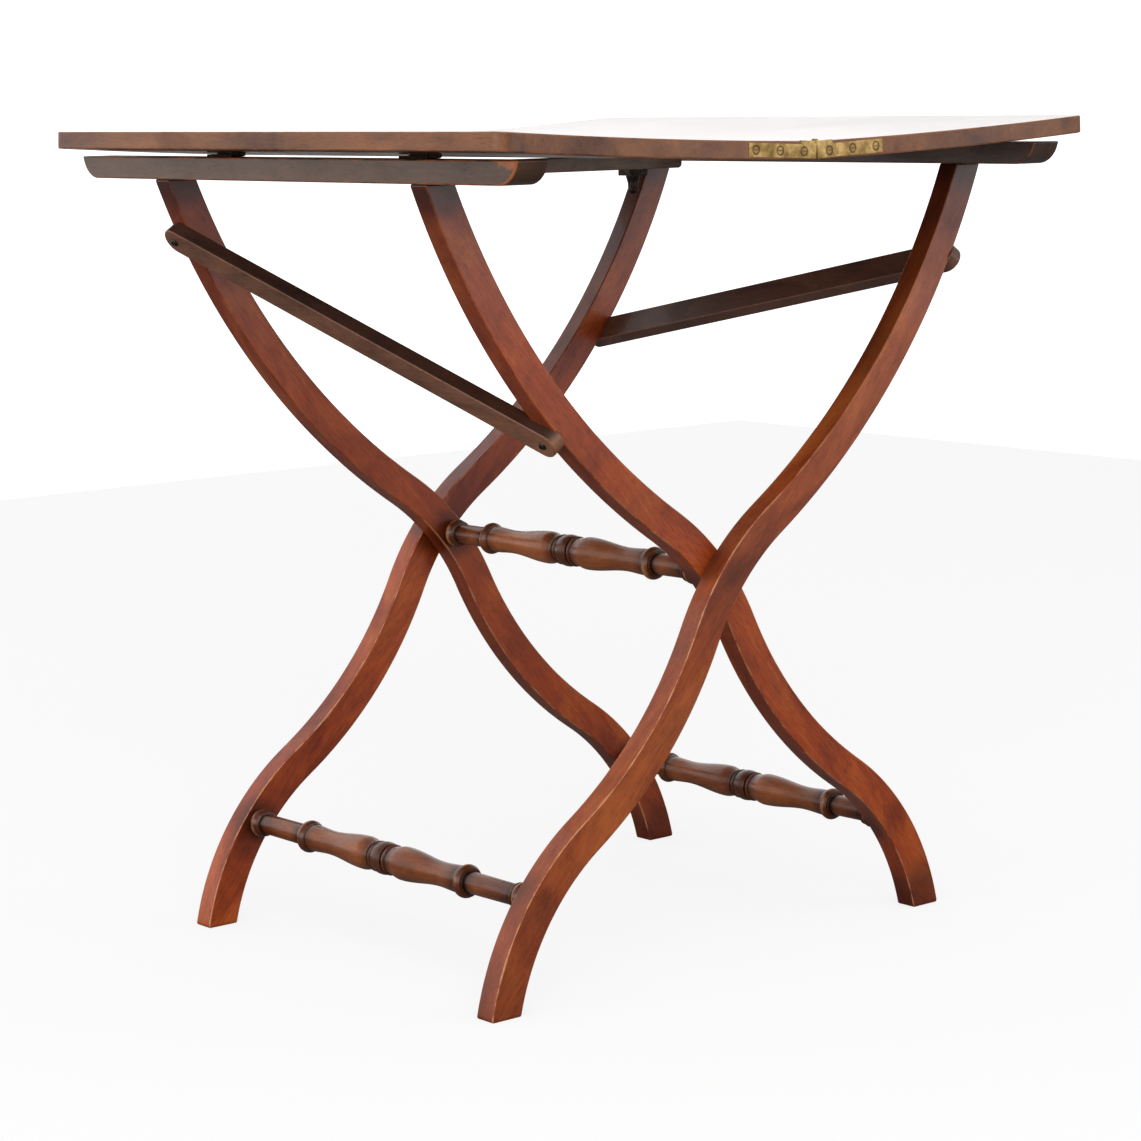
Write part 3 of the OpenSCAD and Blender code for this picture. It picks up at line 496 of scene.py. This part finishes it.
def mahogany(name, turn, seed, tones, worn, roughness=0.3, wear=0.85, polish=0.12, grime_and_shade=(), fade=None,
             bare=None, crown_shade=0, under_shade=0):
    """Mahogany, sawn, scraped and French polished: straight grain with broad soft figure, fine
    open pores, darker patches of old polish, and arrises rubbed lighter. Wear is how bare the
    arrises are. The list of dark places gives each place with the reach of the dirt and painted
    shade round it, fade is a pair of heights between which the wood grows darker with painted
    shade, and bare is a place that is rubbed more, with its reach. Crown and under set how much
    painted shade the faces that look up and down take. A polish of 1 is the bright polish of a table top."""
    material, tree = new_material(name)
    place = add(tree, "ShaderNodeTexCoord").outputs["Object"]
    board = add(tree, "ShaderNodeMapping", {"Rotation": turn, "Location": (seed, seed / 3, seed / 7)},
                {"Vector": place}).outputs["Vector"]
    # Broad figure, 60 mm across and three times as long
    long_board = add(tree, "ShaderNodeMapping", {"Scale": (0.33, 1, 1)}, {"Vector": board}).outputs["Vector"]
    figure = add(tree, "ShaderNodeTexNoise", {"Scale": 17, "Detail": 5, "Roughness": 0.65, "Distortion": 0.8},
                 {"Vector": long_board}).outputs["Fac"]
    # Grain lines, about 2.4 mm apart and 95 mm long
    fine_board = add(tree, "ShaderNodeMapping", {"Scale": (0.025, 1, 1)}, {"Vector": board}).outputs["Vector"]
    grain = add(tree, "ShaderNodeTexNoise", {"Scale": 420, "Detail": 3, "Roughness": 0.6, "Distortion": 0.2},
                {"Vector": fine_board}).outputs["Fac"]
    # Pores, about 0.5 mm wide and 9 mm long
    pore_board = add(tree, "ShaderNodeMapping", {"Scale": (0.06, 1, 1)}, {"Vector": board}).outputs["Vector"]
    pores = add(tree, "ShaderNodeTexNoise", {"Scale": 1900, "Detail": 1},
                {"Vector": pore_board}).outputs["Fac"]
    pore_mask = ramp(tree, pores, ((0.3, 1.0), (0.42, 0.0)))
    blend = add(tree, "ShaderNodeMath", {1: 0.82}, {0: figure}, operation="MULTIPLY").outputs[0]
    blend = add(tree, "ShaderNodeMath", {1: 0.18}, {0: grain, 2: blend}, operation="MULTIPLY_ADD").outputs[0]
    colour = ramp(tree, blend, ((0.34, tones[0]), (0.5, tones[1]), (0.66, tones[2])))
    # Dark patches of old polish, 50 to 150 mm across
    patch = add(tree, "ShaderNodeTexNoise", {"Scale": 9, "Detail": 6, "Roughness": 0.72},
                {"Vector": board}).outputs["Fac"]
    patch_mask = ramp(tree, patch, ((0.48, 0.0), (0.68, 0.5)))
    colour = mixed(tree, "MULTIPLY", patch_mask, colour, OLD_POLISH)
    # Painted shade: the wood grows darker between the two fade heights, under the table top
    if fade:
        height = add(tree, "ShaderNodeSeparateXYZ", links={"Vector": place}).outputs["Z"]
        shade = add(tree, "ShaderNodeMapRange", {"From Min": fade[0], "From Max": fade[1], "To Max": 0.75},
                    {"Value": height}, interpolation_type="SMOOTHSTEP").outputs["Result"]
        colour = mixed(tree, "MULTIPLY", shade, colour, SHADED)
    # Dirt and painted shade darken the wood round each listed place, at joints and in corners
    for spot, reach in grime_and_shade:
        far = add(tree, "ShaderNodeVectorMath", {1: spot}, {0: place}, operation="DISTANCE").outputs["Value"]
        dirt_and_shade_far = add(tree, "ShaderNodeMath", {1: reach}, {0: patch, 2: far},
                    operation="MULTIPLY_ADD").outputs[0]
        dirt_and_shade = add(tree, "ShaderNodeMapRange",
                   {"From Min": 2.1 * reach, "From Max": 1.2 * reach, "To Max": 0.7},
                   {"Value": dirt_and_shade_far}, interpolation_type="SMOOTHSTEP").outputs["Result"]
        colour = mixed(tree, "MULTIPLY", dirt_and_shade, colour, DIRT_AND_SHADE)
    pore_depth = add(tree, "ShaderNodeMath", {1: 0.5}, {0: pore_mask}, operation="MULTIPLY").outputs[0]
    colour = mixed(tree, "MULTIPLY", pore_depth, colour, PORE)
    # Rubbed arrises show the bare warm wood in broken stretches, and hollows keep dark polish
    rub = add(tree, "ShaderNodeAttribute", attribute_name="wear").outputs["Fac"]
    spots = add(tree, "ShaderNodeTexNoise", {"Scale": 38, "Detail": 5, "Roughness": 0.7},
                {"Vector": place}).outputs["Fac"]
    rubbed = add(tree, "ShaderNodeMath", {1: 2.4}, {0: spots, 2: rub}, operation="MULTIPLY_ADD").outputs[0]
    if bare:
        far = add(tree, "ShaderNodeVectorMath", {1: bare[0]}, {0: place},
                  operation="DISTANCE").outputs["Value"]
        close = add(tree, "ShaderNodeMapRange", {"From Min": bare[1], "From Max": 0, "To Max": 2.2},
                    {"Value": far}).outputs["Result"]
        rubbed = add(tree, "ShaderNodeMath", links={0: close, 1: rub, 2: rubbed},
                     operation="MULTIPLY_ADD").outputs[0]
    rubbed = add(tree, "ShaderNodeMapRange", {"From Min": 1.85, "From Max": 2.3, "To Max": wear},
                 {"Value": rubbed}, interpolation_type="SMOOTHSTEP").outputs["Result"]
    if fade:
        # The rubbed arrises show less higher up the legs
        low_down = add(tree, "ShaderNodeMapRange", {"From Min": 0.6 * fade[0], "From Max": fade[0],
                                                    "To Min": 1.0, "To Max": 0.2},
                       {"Value": height}).outputs["Result"]
        rubbed = add(tree, "ShaderNodeMath", links={0: rubbed, 1: low_down}, operation="MULTIPLY").outputs[0]
    colour = mixed(tree, "MIX", rubbed, colour, worn)
    hollow = add(tree, "ShaderNodeMath", {1: -0.9}, {0: rub}, operation="MULTIPLY", use_clamp=True).outputs[0]
    colour = mixed(tree, "MULTIPLY", hollow, colour, HOLLOW)
    # How far a face looks up: painted shade darkens the faces that look down and, under the top, those that
    # look up
    facing = add(tree, "ShaderNodeTexCoord").outputs["Normal"]
    rise = add(tree, "ShaderNodeSeparateXYZ", links={"Vector": facing}).outputs["Z"]
    # Painted shade on the faces that look down, where little light reaches
    if under_shade:
        under_shaded = add(tree, "ShaderNodeMapRange", {"From Min": -0.1, "From Max": -0.45, "To Max": under_shade},
                     {"Value": rise}).outputs["Result"]
        colour = mixed(tree, "MULTIPLY", under_shaded, colour, UNDERSIDE_SHADE)
    # Painted shade on the faces that look up, under the table top
    if crown_shade:
        crown_shaded = add(tree, "ShaderNodeMapRange", {"From Min": 0.2, "From Max": 0.5, "To Max": crown_shade},
                      {"Value": rise}).outputs["Result"]
        if fade:
            # A leg's upper faces take painted shade only well above its pivot
            above = add(tree, "ShaderNodeMapRange", {"From Min": LEG_DARK[0], "From Max": LEG_DARK[1]},
                        {"Value": height})
            crown_shaded = add(tree, "ShaderNodeMath", links={0: crown_shaded, 1: above.outputs["Result"]},
                          operation="MULTIPLY").outputs[0]
        colour = mixed(tree, "MULTIPLY", crown_shaded, colour, UPPER_FACE_SHADE)
    gloss = add(tree, "ShaderNodeMapRange", {"From Min": 0.3, "From Max": 0.7, "To Min": roughness,
                                             "To Max": roughness + 0.16}, {"Value": patch}).outputs["Result"]
    relief = add(tree, "ShaderNodeMath", {1: -0.3}, {0: pore_mask, 2: figure}, operation="MULTIPLY_ADD")
    bump = add(tree, "ShaderNodeBump", {"Strength": 0.12, "Distance": 0.4 * MM},
               {"Height": relief.outputs[0]}).outputs["Normal"]
    shader = add(tree, "ShaderNodeBsdfPrincipled",
                 {"IOR": 1.45, "Coat Weight": polish, "Coat Roughness": 0.07},
                 {"Base Color": colour, "Roughness": gloss, "Normal": bump})
    if polish == 1:
        # Only the top face is polished bright
        upper = add(tree, "ShaderNodeMapRange", {"From Min": 0.6, "From Max": 0.95, "To Max": 0.8},
                    {"Value": rise})
        tree.links.new(upper.outputs["Result"], shader.inputs["Coat Weight"])
    add(tree, "ShaderNodeOutputMaterial", links={"Surface": shader.outputs["BSDF"]})
    return material


def screw_rings(tree, place, side):
    """Dirt and painted shade round the screw heads of a card table hinge strap, standing in for the dark
    gap at the heads' rim: its mask falls off from a ring at the heads' rim. In the leaf's frame the
    screws stand one pitch apart, level with the strap."""
    level = add(tree, "ShaderNodeMapping", {"Location": (0, 0, -HINGE_Z)},
                {"Vector": place}).outputs["Vector"]
    leaf = add(tree, "ShaderNodeVectorRotate", {"Angle": side * LEAF_ANGLE}, {"Vector": level},
               rotation_type="Y_AXIS").outputs["Vector"]
    parts = add(tree, "ShaderNodeSeparateXYZ", links={"Vector": leaf})
    along = add(tree, "ShaderNodeMath", {1: side, 2: -SCREW_FIRST}, {0: parts.outputs["X"]},
                operation="MULTIPLY_ADD").outputs[0]
    near = add(tree, "ShaderNodeMath", {1: SCREW_PITCH / 2}, {0: along}, operation="PINGPONG").outputs[0]
    up = add(tree, "ShaderNodeMath", {1: SCREW_DEPTH}, {0: parts.outputs["Z"]}, operation="ADD").outputs[0]
    flat = add(tree, "ShaderNodeCombineXYZ", links={"X": near, "Y": up}).outputs["Vector"]
    far = add(tree, "ShaderNodeVectorMath", links={0: flat}, operation="LENGTH").outputs["Value"]
    ring = add(tree, "ShaderNodeMath", {1: 1 / (2 * SCREW_HEAD)}, {0: far}, operation="MULTIPLY").outputs[0]
    return ramp(tree, ring, ((0.34, 0.1), (0.44, 0.8), (0.54, 0.7), (0.62, 0.0)))


def aged_metal(name, bright, dull, dark, roughness, scale, side=0):
    """Cast and filed metal, dulled by age: bright where rubbed, brown tarnish in soft blotches and
    fine dark pits, and dirt and painted shade round the screws of a card table hinge on one side of the top."""
    material, tree = new_material(name)
    place = add(tree, "ShaderNodeTexCoord").outputs["Object"]
    blotch = add(tree, "ShaderNodeTexNoise", {"Scale": scale, "Detail": 5, "Roughness": 0.6},
                 {"Vector": place}).outputs["Fac"]
    pits = add(tree, "ShaderNodeTexNoise", {"Scale": 6 * scale, "Detail": 3, "Roughness": 0.7},
               {"Vector": place}).outputs["Fac"]
    colour = ramp(tree, blotch, ((0.3, dark), (0.46, dull), (0.62, bright)))
    pit_mask = ramp(tree, pits, ((0.33, 0.5), (0.45, 0.0)))
    colour = mixed(tree, "MULTIPLY", pit_mask, colour, dark)
    # Dirt and painted shade in the gap round the screw heads
    if side:
        colour = mixed(tree, "MIX", screw_rings(tree, place, side), colour, SCREW_DIRT_AND_SHADE)
    rough = add(tree, "ShaderNodeMapRange", {"From Min": 0.35, "From Max": 0.65, "To Min": roughness + 0.15,
                                             "To Max": roughness}, {"Value": blotch}).outputs["Result"]
    bump = add(tree, "ShaderNodeBump", {"Strength": 0.2, "Distance": 0.08 * MM},
               {"Height": pits}).outputs["Normal"]
    shader = add(tree, "ShaderNodeBsdfPrincipled", {"Metallic": 1.0},
                 {"Base Color": colour, "Roughness": rough, "Normal": bump})
    add(tree, "ShaderNodeOutputMaterial", links={"Surface": shader.outputs["BSDF"]})
    return material


# Warm legs, darker rails and braces, and brown turnings: dark, middle and light tones of each.
# The near outer leg has a copy of the leg tones darkened as painted shade, and the left rail and
# inner brace have copies of the rail and brace tones lightened as painted light.
LEG_TONES = ("#78290C", "#A84618", "#CA6628")
SHADED_NEAR_LEG_TONES = ("#682A0E", "#98431A", "#B45C28")
EDGE_TONES = ("#563020", "#7A4A2A", "#925A34")
RAIL_TONES = ("#38241B", "#4F362A", "#654734")
LIT_LEFT_RAIL_TONES = ("#48301F", "#5E402B", "#725036")
BAR_TONES = ("#4E3826", "#70523A", "#886648")
BRACE_TONES = ("#442C21", "#664233", "#7E5440")
LIT_LEFT_BRACE_TONES = ("#5E3A28", "#84563E", "#9C6A4A")
TURNED_TONES = ("#54260F", "#8A4A24", "#AC6234")

# The bare wood of their rubbed arrises
LEG_WORN, TURNED_WORN, EDGE_WORN = "#CC8C60", "#A8714E", "#A8663F"
RAIL_WORN, LEFT_RAIL_WORN, BRACE_WORN = "#A05A34", "#B0602F", "#7A4C34"

# Directions of the grain
LEG_GRAIN = math.atan2(RAIL_Z, 2 * RAIL_X)
ACROSS = (0, 0, -math.pi / 2)

# Heights in metres between which a leg grows darker with painted shade under the top, and those between which
# its upper faces take painted shade
LEG_FADE = (0.5, 0.7)
LEG_DARK = (0.4, 0.5)
# How much painted shade a leg's upper and lower faces take
LEG_CROWN_SHADE, LEG_UNDER_SHADE = 0.6, 0.35

# Reach of the dirt and painted shade at each place on a leg and on a turned stretcher
OUTER_FOOT_DIRT_AND_SHADE, INNER_FOOT_DIRT_AND_SHADE = 8 * MM, 38 * MM
PIVOT_DIRT_AND_SHADE, STRETCHER_DIRT_AND_SHADE, RAIL_DIRT_AND_SHADE = 20 * MM, 18 * MM, 22 * MM
COLLAR_DIRT_AND_SHADE, QUIRK_DIRT_AND_SHADE = 30 * MM, 15 * MM
# How far below the floor the dirt and painted shade of a foot has its middle
FOOT_SINK = 4 * MM
# Reach of the rubbed place on the left rail
BARE_END = 26 * MM


def leg_dirt_and_shade(leg_y, side, stretcher, foot_reach):
    """Where a leg is darkened with dirt and painted shade: its foot, its pivot, its stretcher and the corner
    under its rail.
    """
    inside = leg_y - math.copysign(LEG_T / 2, leg_y)
    foot_x = -side * abs(leg_side(1, np.zeros(1))[0, 0] - half_width(0))
    return (((foot_x, leg_y, -FOOT_SINK), foot_reach), ((0, inside, PIVOT_Z), PIVOT_DIRT_AND_SHADE),
            ((stretcher[0], inside, stretcher[2]), STRETCHER_DIRT_AND_SHADE),
            ((side * RAIL_X, leg_y, RAIL_Z), RAIL_DIRT_AND_SHADE))


def turned_dirt_and_shade(centre, end):
    """Dirt and painted shade against the legs and in the quirks of the flanges of a turned stretcher."""
    spots = ((end, COLLAR_DIRT_AND_SHADE), (FLANGE_AT, QUIRK_DIRT_AND_SHADE), (BARREL_W / 2, QUIRK_DIRT_AND_SHADE))
    return [((centre[0], centre[1] + way * at, centre[2]), reach) for at, reach in spots for way in (-1, 1)]


def build_outer_frame():
    """The wooden pieces of the outer frame, which carries the right rail."""
    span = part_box("outer_stretcher")
    stretcher = (span[0] + span[1]) / 2
    leg_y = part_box("outer_leg_far")[0].y + LEG_T / 2
    for name, y, seed in (("outer_leg_near", -leg_y, 1.3), ("outer_leg_far", leg_y, 4.1)):
        # The near outer leg takes the tones darkened as painted shade
        tones = SHADED_NEAR_LEG_TONES if y < 0 else LEG_TONES
        # The legs take painted shade under the top and on faces that look up and down
        wood = mahogany(name + "_mahogany", (0, LEG_GRAIN, 0), seed, tones, LEG_WORN,
                        grime_and_shade=leg_dirt_and_shade(y, 1, stretcher, OUTER_FOOT_DIRT_AND_SHADE), fade=LEG_FADE,
                        crown_shade=LEG_CROWN_SHADE, under_shade=LEG_UNDER_SHADE)
        add_piece(leg_mesh(name + "_shaped", y, False), "outer_frame", wood, "mahogany", name)
    rail = mahogany("right_rail_mahogany", ACROSS, 2.2, RAIL_TONES, RAIL_WORN)
    add_piece(rail_mesh("right_rail_shaped", RAIL_X), "outer_frame", rail, "dark_mahogany", "right_rail")
    # Dirt and painted shade at the stretcher's ends and in its quirks
    turned = mahogany("outer_stretcher_mahogany", ACROSS, 3.7, TURNED_TONES, TURNED_WORN, 0.24,
                      grime_and_shade=turned_dirt_and_shade(stretcher, leg_y - LEG_T / 2))
    add_piece(turned_mesh("outer_stretcher_turned", stretcher, leg_y - LEG_T / 2), "outer_frame", turned,
              "dark_mahogany", "outer_stretcher")
    # The outer brace's upper faces take painted shade from the top above them
    brace = mahogany("outer_brace_mahogany", ACROSS, 5.5, BRACE_TONES, BRACE_WORN, 0.36, 0.6, crown_shade=0.3)
    add_piece(brace_mesh("outer_brace_shaped", 2 * leg_y, OUTER_BRACE_DROPS, False), "outer_frame", brace,
              "dark_mahogany", "outer_brace")


def build_inner_frame():
    """The wooden pieces of the inner frame, which carries the left rail."""
    leg_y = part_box("inner_leg_far")[0].y + LEG_T / 2
    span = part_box("inner_stretcher")
    for name, y, seed in (("inner_leg_near", -leg_y, 6.4), ("inner_leg_far", leg_y, 8.8)):
        # The legs take painted shade under the top and on faces that look up and down
        wood = mahogany(name + "_mahogany", (0, math.pi - LEG_GRAIN, 0), seed, LEG_TONES, LEG_WORN,
                        grime_and_shade=leg_dirt_and_shade(y, -1, (span[0] + span[1]) / 2, INNER_FOOT_DIRT_AND_SHADE), fade=LEG_FADE,
                        crown_shade=LEG_CROWN_SHADE, under_shade=LEG_UNDER_SHADE)
        add_piece(leg_mesh(name + "_shaped", y, True), "inner_frame", wood, "mahogany", name)
    # Hands have rubbed the upper outer corner at the rail's near end
    rail_end = (-RAIL_X - RAIL_W / 2, -RAIL_L / 2 + RAIL_END / 3, RAIL_Z + RAIL_H / 2)
    # The left rail's tones are lightened as painted light
    rail = mahogany("left_rail_mahogany", ACROSS, 7.9, LIT_LEFT_RAIL_TONES, LEFT_RAIL_WORN,
                    bare=(rail_end, BARE_END))
    add_piece(rail_mesh("left_rail_shaped", -RAIL_X), "inner_frame", rail, "dark_mahogany", "left_rail")
    for name, seed in (("pivot_stretcher", 9.6), ("inner_stretcher", 10.2)):
        low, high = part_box(name)
        # Dirt and painted shade at each stretcher's ends and in its quirks
        turned = mahogany(name + "_mahogany", ACROSS, seed, TURNED_TONES, TURNED_WORN, 0.24,
                          grime_and_shade=turned_dirt_and_shade((low + high) / 2, leg_y - LEG_T / 2))
        add_piece(turned_mesh(name + "_turned", (low + high) / 2, leg_y - LEG_T / 2), "inner_frame", turned,
                  "dark_mahogany", name)
    # The inner brace's tones are lightened as painted light, and its upper faces take painted shade
    brace = mahogany("inner_brace_mahogany", ACROSS, 11.5, LIT_LEFT_BRACE_TONES, BRACE_WORN, 0.36, 0.6, crown_shade=0.9)
    add_piece(brace_mesh("inner_brace_shaped", 2 * leg_y, INNER_BRACE_DROPS, True), "inner_frame", brace,
              "dark_mahogany", "inner_brace")


def build_top():
    """The two leaves and the lock bar under them."""
    for name, side, seed in (("right_leaf", 1, 12.7), ("left_leaf", -1, 14.9)):
        wood = mahogany(name + "_mahogany", ACROSS, seed, EDGE_TONES, EDGE_WORN, 0.34, 0.7, polish=1.0)
        add_piece(leaf_mesh(name + "_polished", side), name, wood, "mahogany", name)
    bar = mahogany("lock_bar_mahogany", (0, 0, 0), 15.3, BAR_TONES, BRACE_WORN, 0.36, 0.5)
    add_piece(bar_mesh("lock_bar_shaped"), "lock_bar", bar, "dark_mahogany", "lock_bar")


# Bright, dull and dark tones of the hinge brass, its roughness and the scale of its blotches
HINGE_BRASS = ("#B0935F", "#967A4B", "#786039", 0.36, 90)
# Dirt and painted shade in the gaps round the hinge screws
SCREW_DIRT_AND_SHADE = "#2E2214"


def dress_metal():
    """Gives the brass and iron parts their finish: the hinges in the top are golden where rubbed
    and brown where not, the brass under the top has gone nearly black, and the rest is dull iron."""
    right_brass = aged_metal("right_hinge_brass", *HINGE_BRASS, side=1)
    left_brass = aged_metal("left_hinge_brass", *HINGE_BRASS, side=-1)
    dark_brass = aged_metal("tarnished_brass", "#46382A", "#34291F", "#221A14", 0.5, 200)
    iron = aged_metal("dark_iron", "#4E443E", "#38302B", "#211C19", 0.45, 300)
    finishes = {"card_hinge_right": right_brass, "card_hinge_left": left_brass,
                "card_hinge_pins": right_brass, "butt": dark_brass, "washers": dark_brass}
    slots = {s["node"]: s["material_slot"] for s in frame["record"]["subparts"]}
    for name, node in frame["nodes"].items():
        if slots[name] in ("brass", "iron"):
            node.data.materials.clear()
            node.data.materials.append(next((f for part, f in finishes.items() if part in name), iron))


# The studio and the camera

# Half the floor's side, and the backdrop's place and its extents, in metres
FLOOR = 3
BACKDROP_Y, BACKDROP_SPAN = 5, (-9, 11, -1, 5)
FLOOR_PAPER, FLOOR_GLOW = "#808080", 0.8
BACKDROP_PAPER, BACKDROP_GLOW = "#C8C8C8", 1.0
# How bright the world is as light and to the camera
SKY_LIGHT, SKY_SEEN = 0.55, 1.0
LAMP_AIM = (0, 0, 0.4)


def stage_plane(name, corners, colour, glow, shown):
    """A flat piece of the studio: dull paper of a colour, with a glow added for the rays that come
    from the camera and for the kinds of ray that shown lists."""
    mesh = bpy.data.meshes.new(name)
    mesh.from_pydata(corners, [], [(0, 1, 2, 3)])
    plane = bpy.data.objects.new(name, mesh)
    bpy.context.scene.collection.objects.link(plane)
    material, tree = new_material(name + "_paper")
    paths = add(tree, "ShaderNodeLightPath")
    seen = paths.outputs["Is Camera Ray"]
    for kind in shown:
        seen = add(tree, "ShaderNodeMath", links={0: seen, 1: paths.outputs[kind]},
                   operation="MAXIMUM").outputs[0]
    paper = add(tree, "ShaderNodeBsdfDiffuse", {"Color": linear(colour)})
    white = add(tree, "ShaderNodeEmission", {"Color": (1, 1, 1, 1), "Strength": glow})
    lit = add(tree, "ShaderNodeAddShader", links={0: paper.outputs[0], 1: white.outputs[0]})
    both = add(tree, "ShaderNodeMixShader", links={0: seen, 1: paper.outputs[0], 2: lit.outputs[0]})
    add(tree, "ShaderNodeOutputMaterial", links={"Surface": both.outputs[0]})
    mesh.materials.append(material)


def build_studio():
    """A floor that is grey to the light and near white to the camera, where the table's shadow
    stays, and a white backdrop that glows for every kind of ray, so it lights the table as well."""
    stage_plane("studio_floor", [(-FLOOR, -FLOOR, 0), (FLOOR, -FLOOR, 0), (FLOOR, FLOOR, 0),
                                 (-FLOOR, FLOOR, 0)], FLOOR_PAPER, FLOOR_GLOW, ())
    left, right, low, high = BACKDROP_SPAN
    stage_plane("studio_backdrop", [(left, BACKDROP_Y, low), (right, BACKDROP_Y, low),
                                    (right, BACKDROP_Y, high), (left, BACKDROP_Y, high)],
                BACKDROP_PAPER, BACKDROP_GLOW, ("Is Glossy Ray", "Is Transmission Ray", "Is Diffuse Ray"))


def build_world():
    """White to the camera, and a soft even light to the rest."""
    world = bpy.data.worlds.new("studio")
    bpy.context.scene.world = world
    world.use_nodes = True
    tree = world.node_tree
    tree.nodes.clear()
    paths = add(tree, "ShaderNodeLightPath")
    seen = paths.outputs["Is Camera Ray"]
    strength = add(tree, "ShaderNodeMapRange", {"To Min": SKY_LIGHT, "To Max": SKY_SEEN}, {"Value": seen})
    sky = add(tree, "ShaderNodeBackground", {"Color": (1, 1, 1, 1)}, {"Strength": strength.outputs[0]})
    add(tree, "ShaderNodeOutputWorld", links={"Surface": sky.outputs[0]})


def add_lamp(name, place, size, power):
    """A large soft panel that faces the table."""
    lamp = bpy.data.lights.new(name, "AREA")
    lamp.shape = "RECTANGLE"
    lamp.size, lamp.size_y = size
    lamp.energy = power
    thing = bpy.data.objects.new(name, lamp)
    thing.location = place
    thing.rotation_euler = (Vector(LAMP_AIM) - Vector(place)).to_track_quat("-Z", "Y").to_euler()
    bpy.context.scene.collection.objects.link(thing)


# The photograph's view: turn about the vertical, rise, roll, distance and aim
VIEW_AZIMUTH = math.radians(-39.956)
VIEW_RISE = math.radians(8.609)
VIEW_ROLL = math.radians(-0.991)
VIEW_DISTANCE = 2.8984
VIEW_AIM = Vector((0.0571, 0.0691, 0.2976))
SENSOR = 36
FOCAL_PX = 3199.2
FRAME_PX = 1141


def build_camera():
    """The camera, at the photograph's viewing angle."""
    back = Vector((math.sin(VIEW_AZIMUTH) * math.cos(VIEW_RISE),
                   -math.cos(VIEW_AZIMUTH) * math.cos(VIEW_RISE), math.sin(VIEW_RISE)))
    right = Vector((math.cos(VIEW_AZIMUTH), math.sin(VIEW_AZIMUTH), 0))
    up = back.cross(right)
    rolled = math.cos(VIEW_ROLL) * right + math.sin(VIEW_ROLL) * up
    upright = math.cos(VIEW_ROLL) * up - math.sin(VIEW_ROLL) * right
    lens = bpy.data.cameras.new("camera")
    lens.sensor_fit = "HORIZONTAL"
    lens.sensor_width = SENSOR
    lens.lens = FOCAL_PX / FRAME_PX * SENSOR
    camera = bpy.data.objects.new("camera", lens)
    turn = Matrix((rolled, upright, back)).transposed().to_4x4()
    camera.matrix_world = Matrix.Translation(VIEW_AIM + VIEW_DISTANCE * back) @ turn
    bpy.context.scene.collection.objects.link(camera)
    bpy.context.scene.camera = camera


build_camera()
build_outer_frame()
build_inner_frame()
build_top()
dress_metal()
build_studio()
build_world()
add_lamp("key", (-1.8, -2.4, 2.0), (2.4, 2.0), 44)
add_lamp("side", (-3.2, -0.2, 0.8), (2.4, 1.6), 30)
add_lamp("fill", (1.8, -2.4, 1.0), (1.8, 1.4), 14)
bpy.context.scene.view_settings.view_transform = "Standard"
